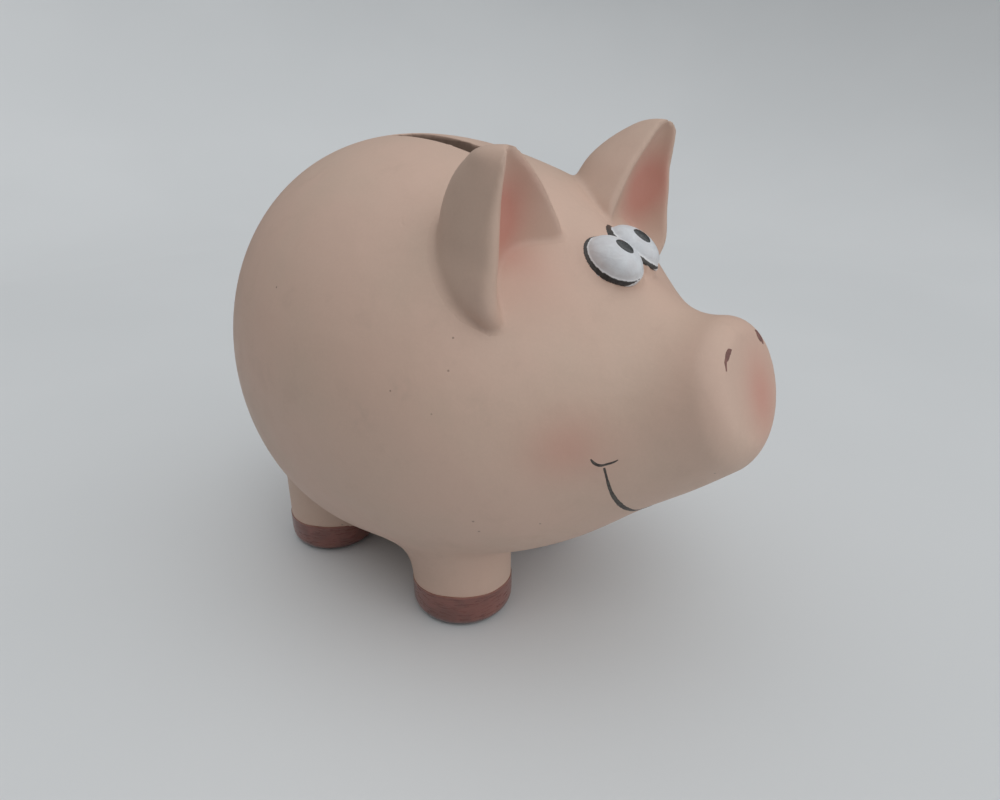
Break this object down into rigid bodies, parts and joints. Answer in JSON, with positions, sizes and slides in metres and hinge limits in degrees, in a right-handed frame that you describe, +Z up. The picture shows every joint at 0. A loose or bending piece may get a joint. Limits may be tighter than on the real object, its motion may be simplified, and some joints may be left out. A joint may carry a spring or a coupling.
{
  "type": "piggy bank",
  "caption": "Hollow ceramic pig savings bank with a coin slot in its back, a belly hole closed by a rubber stopper, upright ears, raised cartoon eyes, glazed hooves and a curled tail.",
  "frame": {"origin": "on the floor under the middle of the bank: half way along its length, on its middle plane", "axes": "+Z up, the pig faces -Y, +X is the pig's left"},
  "size_m": [0.131, 0.1779, 0.1481],
  "materials": {
    "painted_skin": "matte pinkish beige cold paint on slip-cast earthenware, with faint blush, specks and scuffs",
    "painted_ear": "the same matte paint, with a pink blush sprayed into the hollow",
    "eye_enamel": "satin white enamel, slightly uneven",
    "pupil_enamel": "thick glossy black enamel",
    "hoof_glaze": "glossy transparent red-brown glaze, streaky where it pooled",
    "stopper_rubber": "matte black moulded rubber"
  },
  "bodies": {
    "bank": {"body_shell": "painted_skin", "ear_left": "painted_ear", "ear_right": "painted_ear", "eye_left": "eye_enamel", "eye_right": "eye_enamel", "pupil_left": "pupil_enamel", "pupil_right": "pupil_enamel", "hoof_front_left": "hoof_glaze", "hoof_front_right": "hoof_glaze", "hoof_rear_left": "hoof_glaze", "hoof_rear_right": "hoof_glaze", "tail": "painted_skin"},
    "plug": {"stopper": "stopper_rubber"}
  },
  "joints": [
    {"name": "stopper_pull", "type": "slide", "parent": "bank", "child": "plug", "axis": [0, 0, -1], "range_m": [0, 0.014]}
  ]
}
